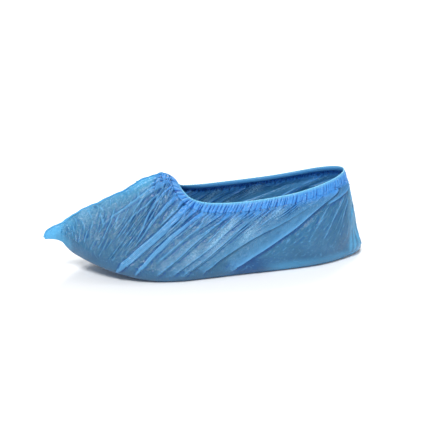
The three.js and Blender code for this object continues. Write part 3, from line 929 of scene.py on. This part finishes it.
    def wrinkles(self, side: SmoothSide, seed: int) -> Array:
        """The small creases between the main folds, as a rise in millimetres."""
        rng = np.random.default_rng(seed)
        place, reach = side.place, side.reach
        run = np.linalg.norm(np.gradient(side.points, axis=0), axis=-1) / np.gradient(place, axis=0)
        rise = np.zeros(run.shape)
        for crop in CROPS:
            for _ in range(crop.count):
                middle, start = rng.uniform(*crop.places), rng.uniform(*crop.starts)
                length = crop.lengths[0] + (crop.lengths[1] - crop.lengths[0]) * rng.random() ** 1.8
                drift, bend = rng.normal(*crop.drift), rng.normal(0, 0.8)
                width, height = rng.uniform(*crop.widths), rng.uniform(*crop.heights)
                past = (reach - start) / length
                centre = middle + (drift + bend * (past - 0.5)) * (reach - start)
                off = np.abs((place - centre) * run) / width
                crease = np.clip(1 - off, 0, 1) ** 1.3 - 0.25 * np.clip(1 - np.abs(off - 1.3), 0, 1)
                rise += crease * (smooth_step(past / 0.25) * smooth_step((1 - past) / 0.5)) * height
        return rise * (0.4 + 0.6 * ramp(reach, 1.05, -0.4))

    def crumple(self, side: SmoothSide, seed: int) -> Array:
        """Sharp crumpling all over, which gives way to steep fine lines at the rear, in millimetres."""
        sharp = creased(soft_noise(side.points, self.crumple_size, seed + 1), 1.5) * self.crumple_height
        steep = side.points[..., [0, 2]] @ self.rear_lines
        lines = creased(soft_noise(steep, self.rear_line_size, seed + 5), 1.3) * self.crumple_height
        rear = ramp(side.place, self.rear_start, 2.2)
        return sharp * (1 - 0.85 * rear) + lines * rear

    def side(self, seed: int, jitter: float) -> tuple[Array, dict[str, Array]]:
        """One side panel and its half of the sole, drawn as the near side.

        Args:
            seed: Fixes the small creases.
            jitter: How far the main folds are moved along the places.

        Returns:
            The points, and the values that the finish reads.
        """
        form, side = self.form, self.smooth_side()
        normal = grid_normals(side.points)
        rise, shift, doubled = self.folds(side.points, normal, seed, jitter)
        toe = ramp(side.place, 1.6, 1.6)
        loose = ramp(side.reach, 1.6, -0.6) * (0.45 + 0.55 * toe)
        slack = soft_noise(side.points, self.slack_size, seed + 2) * self.slack_height * loose
        small = self.wrinkles(side, seed) + self.crumple(side, seed) * (1.6 - 0.6 * toe)
        rise = rise + small * loose + slack
        mouth = side.in_mouth[:, None]
        mouth_fade = mouth * np.exp(-((side.down / 5.0) ** 1.3))
        rise = rise * (1 - 0.8 * mouth_fade) + self.gathers.on_film(side.turn, side.down) * mouth
        near_weld = np.where(side.place < form.toe_rows, self.toe_seam, self.heel_seam)
        free = np.maximum(mouth, smooth_step(side.down / near_weld)) * side.above_sole
        rise *= free
        shift *= free[..., None]
        raised = side.points + normal * rise[..., None] + shift
        raised[..., 2] += swell(side.place, side.reach) + self.sole_creases(side, seed)
        raised[..., 2] = np.maximum(raised[..., 2], -form.wall)
        self.tuck_under_hem(raised, side)
        raised[:, -1, 1] = 0.0
        raised[~side.in_mouth, 0, 1] = 0.0
        raised[..., 1] = np.minimum(raised[..., 1], 0.0)
        relief = rise - slack
        relief = (relief - blurred(relief, self.relief_passes)) * side.above_sole
        return raised, self.finish_values(side, doubled, relief, seed)

    def sole_creases(self, side: SmoothSide, seed: int) -> Array:
        """Long slack creases in the sole, as a rise in millimetres."""
        waves = soft_noise(side.points, self.sole_crease_size, seed + 4)
        return self.sole_crease_height * creased(waves, 1.6) * ramp(side.reach, 2.0, 0.3)

    def tuck_under_hem(self, points: Array, side: SmoothSide) -> None:
        """Moves the sheet's top edge up behind the hem's lower edge."""
        _, down, out = self.form.hem_frame(side.turn[side.in_mouth])
        points[side.in_mouth, 0] -= down * self.tuck + out * 0.4
        points[side.in_mouth, 1] -= out * 0.25

    def finish_values(self, side: SmoothSide, doubled: Array, relief: Array, seed: int) -> dict[str, Array]:
        """The values that the finish reads.

        Args:
            side: The smooth side.
            doubled: The share of doubled film in the folds.
            relief: How far each point stands above the film round it, in millimetres.
            seed: Fixes the uneven edges.

        Returns:
            The values by name, at every point.
        """
        place, reach, down = side.place, side.reach, side.down
        x, z = side.points[..., 0], side.points[..., 2]
        rim = ramp(reach, 1.95, -0.45)
        ahead = 1 - ramp(place, self.ridge_end, 0.8)
        ragged = soft_noise(side.points, (12.0, 12.0, 20.0), seed + 3)
        # Painted light: the toe corner, the ridge and the puffed film ahead of the mouth are painted paler,
        # as film with light behind it.
        corner = 0.88 * smooth_step((self.corner_end - place) / 3.1 + 0.16 * ragged)
        ridge = np.exp(-((down / 22.0) ** 1.3)) * ramp(place, 2.5, 2.0)
        puff = swell(place, reach) / SWELL_HEIGHT
        # Painted light, uneven, on a strip behind the heel and low along the foot at the rear.
        uneven = 0.6 + 0.28 * soft_noise(side.points, (5.0, 5.0, 60.0), seed + 6)
        behind = ramp(x, self.lit_heel_x, 12.0) * ramp(place, 21.0, 1.5)
        heel = behind * np.clip(uneven, 0, 1) * 0.8 * side.above_sole
        foot = 0.35 * ramp(x, self.lit_foot_x, 26.0) * ramp(z, 13.0, -8.0) * rim
        # Painted shade low on the side, under the largest fold.
        shaded = np.exp(-(((x - self.shaded_x) / 22.0) ** 2)) * ramp(z, 20.0, -6.0) * rim
        gathered = side.in_mouth[:, None] * (1 - smooth_step(down / 14.0))
        rich = (1 - ahead) * np.exp(-((down / 22.0) ** 1.6)) * (place < self.form.mouth_end)
        hump = rich * (1 - ramp(place, 10.2, 0.8))
        run = np.cumsum(np.linalg.norm(np.gradient(side.points[:, self.run_row], axis=0), axis=-1))
        return {
            "doubled": np.clip(doubled * side.above_sole + 0.5 * gathered + 0.6 * hump, 0, 1),
            "relief": np.clip(0.5 + relief * 0.8, 0, 1),
            # The painted light, as film with light behind it.
            "painted_light": np.clip(corner + (0.34 * ridge + 0.75 * puff) * ahead + np.maximum(heel, foot), 0, 1),
            "run": run[:, None] * np.ones_like(down),
            # Past the heel's start the depth is raised, so that no painted glints show there.
            "down": down + GLINT_REACH * ramp(place, self.heel_film_start, 1.5),
            # Painted shade: darker towards the sole, and most in the shaded patch.
            "low": np.maximum(0.3 * ramp(reach, 0.8, 0.35), shaded),
            "rich": rich,
            "gleam": self.gleams(side.points),
        }

    def gleams(self, points: Array) -> Array:
        """How strongly each point of the film catches the light."""
        angle = math.radians(GLEAM_STEEPNESS)
        along = np.array([math.cos(angle), 0.0, math.sin(angle)])
        across = np.array([-math.sin(angle), 0.0, math.cos(angle)])
        total = np.zeros(points.shape[:2])
        for gleam in GLEAMS:
            off = points - self.form.surface(np.array([gleam.place]), np.array([gleam.reach]))[0, 0]
            spread = (off @ along / gleam.length) ** 2 + (off @ across / gleam.width) ** 2
            total += gleam.strength * np.exp(-spread)
        return np.clip(total, 0, 1)

    def build(self, finish: "FilmFinish") -> bpy.types.Object:
        near, near_values = self.side(self.near_seed, 0.0)
        far, far_values = self.side(self.far_seed, self.far_jitter)
        far = far * np.array([1, -1, 1])
        points = np.concatenate([near, far[:, -2::-1]], axis=1)
        values = {
            key: np.concatenate([value, far_values[key][:, -2::-1]], axis=1)
            for key, value in near_values.items()
        }
        piece = build_grid("film_bag_sheet", points, values)
        dress(piece, finish.material("blown_film"), "film_bag")
        return piece


@dataclass
class GatheredHem:
    """The gathered band round the mouth, folded over at the lip."""

    form: CoverForm
    gathers: Gathers
    columns: int = 1500
    outer_rows: int = 14
    inner_legs: tuple[float, ...] = (4.0, 2.2, 0.8)
    fold_radius: float = 0.7
    fold_steps: int = 5
    thickness: float = 0.2
    belly: float = 0.5
    worn_share: float = 0.88
    ragged: float = 0.4
    noise_radius: float = 60.0

    def build(self, finish: "FilmFinish") -> bpy.types.Object:
        turn = np.linspace(0, 1, self.columns + 1)
        point, down, out = self.form.hem_frame(turn)
        lip_lift = self.gathers.on_hem(turn, 0.0)
        circle = np.stack([np.cos(turn * 2 * np.pi), np.sin(turn * 2 * np.pi)], -1) * self.noise_radius
        trim = self.ragged * soft_noise(circle, (9.0, 9.0), 5)
        trim = trim + self.ragged * self.gathers.wave(turn, self.gathers.broad)
        rows, shares, lifts = [], [], []
        for leg in self.inner_legs:
            rows.append(point + down * leg - out * (2 * self.fold_radius + 0.2))
            shares.append(0.1)
            lifts.append(np.zeros(len(turn)))
        for step in range(1, self.fold_steps):
            angle = math.pi * step / self.fold_steps
            sideways = lip_lift * 0.5 - self.fold_radius * (1 + math.cos(angle))
            rows.append(point - down * (self.fold_radius * math.sin(angle)) + out * sideways[:, None])
            shares.append(0.0)
            lifts.append(lip_lift * 0.5)
        for step in range(self.outer_rows + 1):
            share = step / self.outer_rows
            lift = self.gathers.on_hem(turn, share)
            length = share * self.form.hem_width * self.worn_share + trim * share**2
            stand = lift + self.belly * math.sin(math.pi * share)
            rows.append(point + down * length[:, None] + out * stand[:, None])
            shares.append(share)
            lifts.append(lift)
        points = np.stack(rows, axis=1)
        share = np.repeat(np.array(shares)[None], len(turn), axis=0)
        lift = np.stack(lifts, axis=1)
        # A thin darker line just above the hem's lower edge.
        line_near_edge = np.exp(-(((share - 0.9) / 0.06) ** 2))
        values = {
            "doubled": np.clip(0.85 + 0.15 * share, 0, 1),
            # Painted shade between the gathers and a painted highlight on those that stand out.
            "relief": np.clip(0.5 + lift * 1.2 - 0.1 * line_near_edge, 0, 1),
            # Painted light along the lip.
            "painted_light": 0.45 * np.clip(1 - share / 0.22, 0, 1),
            "run": np.repeat((turn * self.gathers.length)[:, None], len(rows), axis=1),
            "down": share * self.form.hem_width,
            # Gathers that stand out take the paler folded colour, a painted highlight on their tops.
            "rich": np.clip(1.1 - lift * 0.45, 0, 1),
        }
        piece = build_grid("gathered_hem_band", points, values)
        add_wall(piece, self.thickness)
        dress(piece, finish.material("gathered_film"), "gathered_hem")
        return piece


@dataclass
class ElasticStrand:
    """The covered elastic along the lip, a bright bead with fine puckers."""

    form: CoverForm
    gathers: Gathers
    radius: float = 0.6
    above_lip: float = 0.95
    inside_lip: float = 0.45
    columns: int = 900
    sides: int = 10

    def build(self, finish: "FilmFinish") -> bpy.types.Object:
        turn = np.linspace(0, 1, self.columns + 1)
        point, down, out = self.form.hem_frame(turn)
        lift = self.gathers.on_hem(turn, 0.0)
        radius = self.radius * (1 + 0.3 * lift)
        centre = point - down * self.above_lip - out * self.inside_lip + out * (lift * 0.4)[:, None]
        rows = []
        for side in range(self.sides + 1):
            angle = 2 * math.pi * side / self.sides
            rows.append(centre + (down * math.cos(angle) + out * math.sin(angle)) * radius[:, None])
        points = np.stack(rows, axis=1)
        ones = np.ones(points.shape[:2])
        values = {
            "doubled": 0.6 * ones,
            # Painted shade and highlight on the puckers.
            "relief": np.clip(0.5 + lift * 0.3, 0, 1)[:, None] * ones,
            # The bead is painted in the lit colour all over, a painted light.
            "painted_light": ones,
            "run": (turn * self.gathers.length)[:, None] * ones,
            "rich": ones,
        }
        piece = build_grid("elastic_bead", points, values)
        dress(piece, finish.material("covered_elastic"), "elastic_strand")
        return piece


@dataclass
class EndWeld:
    """A heat-welded fin of doubled film up one end of the bag."""

    form: CoverForm
    toe: bool
    height: float = 1.5
    thickness: float = 0.4
    waviness: float = 0.3
    wave_size: tuple[float, ...] = (16.0, 16.0, 16.0)
    trim_size: tuple[float, ...] = (28.0, 28.0, 28.0)
    columns: int = 160
    rows: int = 5
    pattern_length: float = 130.0

    def build(self, finish: "FilmFinish") -> bpy.types.Object:
        name = "toe_weld" if self.toe else "heel_weld"
        line = self.form.weld_line(self.toe)
        row = np.linspace(0, len(line.rows) - 1, self.columns)
        x = self.form.along(line.by_row("at", row))
        z = line.by_row("height", row) * self.form.instep - self.form.wall
        if self.toe:
            z = z + swell(row, np.zeros(1))
        base = np.stack([x, np.zeros(len(x)), z], 1)
        run = np.gradient(base, axis=0)
        run /= np.linalg.norm(run, axis=1)[:, None]
        off = np.stack([-run[:, 2], np.zeros(len(x)), run[:, 0]], 1)
        wave = soft_noise(base, self.wave_size, 31) * self.waviness
        trim = 1 + 0.08 * soft_noise(base, self.trim_size, 32)
        ends = smooth_step((len(line.rows) - 1 - row) / 0.9) if self.toe else smooth_step(row / 0.6)
        up = np.linspace(0, 1, self.rows)
        points = base[:, None] + off[:, None] * (up * self.height * trim[:, None] * ends[:, None])[..., None]
        points[..., 1] = wave[:, None] * up
        ones = np.ones(points.shape[:2])
        values = {
            "doubled": 0.4 * ones,
            "relief": 0.5 * ones,
            # The fin is painted mostly in the lit colour, a painted light over its shaded sides.
            "painted_light": 0.85 * ones,
            "run": np.linspace(0, self.pattern_length, self.columns)[:, None] * ones,
            "down": up * self.height * ones,
        }
        piece = build_grid(name + "_fin", points, values)
        add_wall(piece, self.thickness, 0.0)
        dress(piece, finish.material(name + "_film"), name)
        return piece


def linear(code: str) -> tuple[float, float, float, float]:
    """An sRGB hex colour as linear red, green, blue and alpha."""
    parts = [int(code[i : i + 2], 16) / 255 for i in (1, 3, 5)]
    return (*(c / 12.92 if c <= 0.04045 else ((c + 0.055) / 1.055) ** 2.4 for c in parts), 1.0)


def add_node(
    tree: bpy.types.NodeTree, kind: str, settings: dict | None = None, **links: bpy.types.NodeSocket
) -> bpy.types.Node:
    """Adds a shader node.

    Args:
        tree: The material's node tree.
        kind: The node's type, without ShaderNode.
        settings: Properties of the node, and socket values under their names or numbers.
        **links: Sockets to link from, under the input's name with underscores for spaces, or i and a number.

    Returns:
        The node.
    """
    node = tree.nodes.new("ShaderNode" + kind)
    for key, value in (settings or {}).items():
        if isinstance(key, int) or key in node.inputs:
            node.inputs[key].default_value = value
        else:
            setattr(node, key, value)
    for key, source in links.items():
        name = int(key[1:]) if key[0] == "i" and key[1:].isdigit() else key.replace("_", " ")
        tree.links.new(source, node.inputs[name])
    return node


@dataclass(frozen=True)
class FilmFinish:
    """Blown polyethylene film, tinted blue and lightly embossed.

    Flat film over a dark inside looks a dull steel blue, doubled film in a fold a clear bright blue, and film
    with the light behind it a pale sky blue, which is a painted light. Painted shade in the creases and
    towards the sole, painted highlights on the crests and painted glints go into the colour too. The thin
    film lets some light through and has a soft gloss.
    """

    flat: str = "#2e6a90"
    front: str = "#3b7192"
    painted_shade: str = "#00427a"
    folded: str = "#5ea8e0"
    gathered: str = "#4498e8"
    painted_crease_shade: str = "#17599c"
    lit: str = "#5fbff2"
    painted_glint: str = "#96cdee"
    roughness: float = 0.22
    # The real emboss and crackle, and the glinting facets drawn as painted specks, are a few tenths of a
    # millimetre wide. That is too fine to show in the render, where a pixel covers about 1 mm, so they are
    # drawn as coarse as they need to show.
    emboss_mm: float = 0.9
    crackle_mm: float = 2.6
    grain_mm: float = 1.5
    patch_mm: float = 14.0
    cloud_mm: float = 22.0
    pucker_mm: float = 2.2
    ior: float = 1.5
    gloss: float = 0.5
    glow: float = 0.22

    def material(self, name: str) -> bpy.types.Material:
        """The finish as a material that reads a piece's values. One that it doesn't have reads as 0."""
        material = bpy.data.materials.new(name)
        material.use_nodes = True
        tree = material.node_tree
        tree.nodes.clear()
        read = {
            key: add_node(
                tree, "Attribute", {"attribute_name": key, "attribute_type": "GEOMETRY"}
            ).outputs["Fac"]
            for key in ("doubled", "relief", "painted_light", "run", "down", "low", "rich", "gleam")
        }
        place = add_node(tree, "TexCoord").outputs["Object"]
        x = add_node(tree, "SeparateXYZ", Vector=place).outputs["X"]
        # Patterns that lie in the film, each drawn at its size.
        noise = {}
        for key, size, detail, rough, distortion in (
            ("cloud", self.cloud_mm, 3.0, 0.6, 0.0),
            ("grain", self.grain_mm, 2.0, 0.5, 0.0),
            ("patch", self.patch_mm, 2.0, 0.5, 0.0),
            ("crackle", self.crackle_mm, 1.0, 0.5, 1.2),
            ("emboss", self.emboss_mm, 2.0, 0.6, 0.0),
        ):
            settings = {"Detail": detail, "Roughness": rough, "Distortion": distortion}
            settings["Scale"] = 1 / (size * MM)
            noise[key] = add_node(tree, "TexNoise", settings, Vector=place).outputs["Fac"]
        # How much of each tone shows: what it is read from, the range there, and the share at either end.
        share = {}
        for key, source, low, high, least, most in (
            ("behind", x, -0.01, 0.05, 0.0, 1.0),
            ("cloudy", noise["cloud"], 0.35, 0.7, 0.0, 0.16),
            # Painted shade in the creases and a painted highlight on the crests, read from the relief.
            ("painted_crease_shade", read["relief"], 0.48, 0.1, 0.0, 0.9),
            ("crest", read["relief"], 0.58, 0.95, 0.0, 0.7),
            # The painted glints: strongest near the hem, in patches, and mottled over the gleams.
            ("glints", read["down"], 0.0, GLINT_REACH, 0.75, 0.08),
            ("patchy", noise["patch"], 0.46, 0.62, 0.0, 1.0),
            ("mottled", noise["grain"], 0.4, 0.62, 0.15, 0.75),
        ):
            settings = {"From Min": low, "From Max": high, "To Min": least, "To Max": most}
            share[key] = add_node(tree, "MapRange", settings, Value=source).outputs[0]
        # Painted glint specks.
        settings = {"From Min": 0.54, "From Max": 0.72}
        glint_specks = add_node(tree, "MapRange", settings, Value=noise["grain"], To_Max=share["glints"]).outputs[0]
        # Where the painted light shows, no painted glints are laid.
        outside_painted_light = add_node(tree, "Math", {"operation": "SUBTRACT", 0: 1.0}, i1=read["painted_light"]).outputs[0]
        for factor in (share["patchy"], outside_painted_light):
            glint_specks = add_node(tree, "Math", {"operation": "MULTIPLY"}, i0=glint_specks, i1=factor).outputs[0]
        # A painted sheen on the patches that catch the light.
        shine = add_node(
            tree, "Math", {"operation": "MULTIPLY"}, i0=share["mottled"], i1=read["gleam"]
        ).outputs[0]
        single, double = (
            add_node(tree, "Mix", {"data_type": "RGBA", 6: linear(a), 7: linear(b)}, i0=amount).outputs[2]
            for a, b, amount in (
                (self.front, self.flat, share["behind"]),
                (self.folded, self.gathered, read["rich"]),
            )
        )
        # Each tone is laid over those before it, from the flat film to the painted glints.
        base = single
        for amount, colour in (
            # Painted shade, darker towards the sole and under the largest fold.
            (read["low"], self.painted_shade),
            (share["cloudy"], self.folded),
            (read["doubled"], double),
            # Painted shade in the creases.
            (share["painted_crease_shade"], self.painted_crease_shade),
            # A painted highlight on the crests.
            (share["crest"], double),
            # Painted light, the pale blue of film with light behind it.
            (read["painted_light"], self.lit),
            # Painted glints, then the painted sheen.
            (glint_specks, self.painted_glint),
            (shine, self.painted_glint),
        ):
            settings, links = {"data_type": "RGBA"}, {"i0": amount, "i6": base}
            if isinstance(colour, str):
                settings[7] = linear(colour)
            else:
                links["i7"] = colour
            base = add_node(tree, "Mix", settings, **links).outputs[2]
        # The puckers run down from the hem, with the crackle and the emboss over them.
        flow = add_node(tree, "CombineXYZ", X=read["run"], Y=read["down"]).outputs[0]
        scale = (1 / self.pucker_mm, 0.16 / self.pucker_mm, 1.0)
        flow = add_node(tree, "Mapping", {"Scale": scale}, Vector=flow).outputs[0]
        pucker = add_node(tree, "TexNoise", {"Scale": 1.0, "Detail": 2.0, "Distortion": 0.6}, Vector=flow)
        normal = {}
        for height, strength, depth_mm in (
            (pucker.outputs["Fac"], 0.8, 0.6),
            (noise["crackle"], 0.9, 0.7),
            (noise["emboss"], 0.7, 0.28),
        ):
            settings = {"Strength": strength, "Distance": depth_mm * MM}
            normal = {"Normal": add_node(tree, "Bump", settings, Height=height, **normal).outputs[0]}
        settings = {"Roughness": self.roughness, "IOR": self.ior, "Specular IOR Level": self.gloss}
        surface = add_node(tree, "BsdfPrincipled", settings, Base_Color=base, **normal).outputs[0]
        through = add_node(tree, "BsdfTranslucent", Color=base, **normal).outputs[0]
        mixed = add_node(tree, "MixShader", {0: self.glow}, i1=surface, i2=through).outputs[0]
        add_node(tree, "OutputMaterial", Surface=mixed)
        return material


@dataclass
class Studio:
    """A pale floor, soft light and the camera, which sees the cover as it was photographed."""

    azimuth: float = -13.0
    elevation: float = 18.0
    distance: float = 1.05
    lens: float = 85.0
    aim: tuple[float, float, float] = (0.0, 0.0, 0.049)
    floor_z: float = -0.0014
    floor_colour: str = "#f4f5f6"

    def build(self) -> None:
        """Adds the floor, the lights, the world and the camera."""
        scene = bpy.context.scene
        scene.view_settings.view_transform = "Standard"
        mesh = bmesh.new()
        bmesh.ops.create_grid(mesh, x_segments=1, y_segments=1, size=12.0)
        bmesh.ops.translate(mesh, verts=mesh.verts, vec=(0, 0, self.floor_z))
        data = bpy.data.meshes.new("floor")
        mesh.to_mesh(data)
        mesh.free()
        floor = bpy.data.objects.new("floor", data)
        scene.collection.objects.link(floor)
        paper = bpy.data.materials.new("pale_floor")
        paper.use_nodes = True
        inputs = paper.node_tree.nodes["Principled BSDF"].inputs
        inputs["Base Color"].default_value = linear(self.floor_colour)
        inputs["Roughness"].default_value = 0.9
        data.materials.append(paper)
        world = bpy.data.worlds.new("studio")
        world.use_nodes = True
        inputs = world.node_tree.nodes["Background"].inputs
        inputs["Color"].default_value = linear("#ffffff")
        inputs["Strength"].default_value = 0.5
        scene.world = world
        self.lamp("key", (-0.5, -0.9, 1.3), 17.0, 2.45)
        self.lamp("side", (1.2, -0.35, 0.7), 24.0, 0.45)
        self.lamp("rear", (0.5, 1.0, 1.1), 24.0, 1.6)
        a, e = math.radians(self.azimuth), math.radians(self.elevation)
        back = Vector((math.sin(a) * math.cos(e), -math.cos(a) * math.cos(e), math.sin(e)))
        camera = bpy.data.cameras.new("camera")
        camera.lens = self.lens
        camera.sensor_width = 36.0
        camera.clip_start = 0.01
        holder = bpy.data.objects.new("camera", camera)
        holder.location = Vector(self.aim) + back * self.distance
        holder.rotation_euler = (-back).to_track_quat("-Z", "Y").to_euler()
        scene.collection.objects.link(holder)
        scene.camera = holder

    def lamp(self, name: str, place: tuple[float, float, float], angle: float, strength: float) -> None:
        """Adds a broad, far-off light, some degrees across, that shines on the cover from a place."""
        lamp = bpy.data.lights.new(name, "SUN")
        lamp.angle = math.radians(angle)
        lamp.energy = strength
        holder = bpy.data.objects.new(name, lamp)
        holder.location = place
        holder.rotation_euler = (Vector(self.aim) - Vector(place)).to_track_quat("-Z", "Y").to_euler()
        bpy.context.scene.collection.objects.link(holder)


def main() -> None:
    """Builds the cover piece by piece on the frame."""
    logging.basicConfig(level=logging.INFO)
    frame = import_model()
    LOG.info("frame nodes: %s", sorted(frame["nodes"]))
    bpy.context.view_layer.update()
    form = CoverForm()
    gathers = Gathers(form)
    finish = FilmFinish()
    # Gathered film lies double in its casing, so it looks a deeper, clearer blue. The painted shade between
    # the gathers is darker here, and the painted highlight on their tops and the painted light along the lip
    # are paler, and the elastic is covered with the same film.
    hem_finish = FilmFinish(folded="#86cbf8", gathered="#429aea", painted_crease_shade="#1156b0", lit="#7fd2f6")
    bag = FilmBag(form, gathers).build(finish)
    hem = GatheredHem(form, gathers).build(hem_finish)
    strand = ElasticStrand(form, gathers).build(hem_finish)
    toe = EndWeld(form, True).build(finish)
    heel = EndWeld(form, False).build(finish)
    Studio().build()


if __name__ == "__main__":
    main()
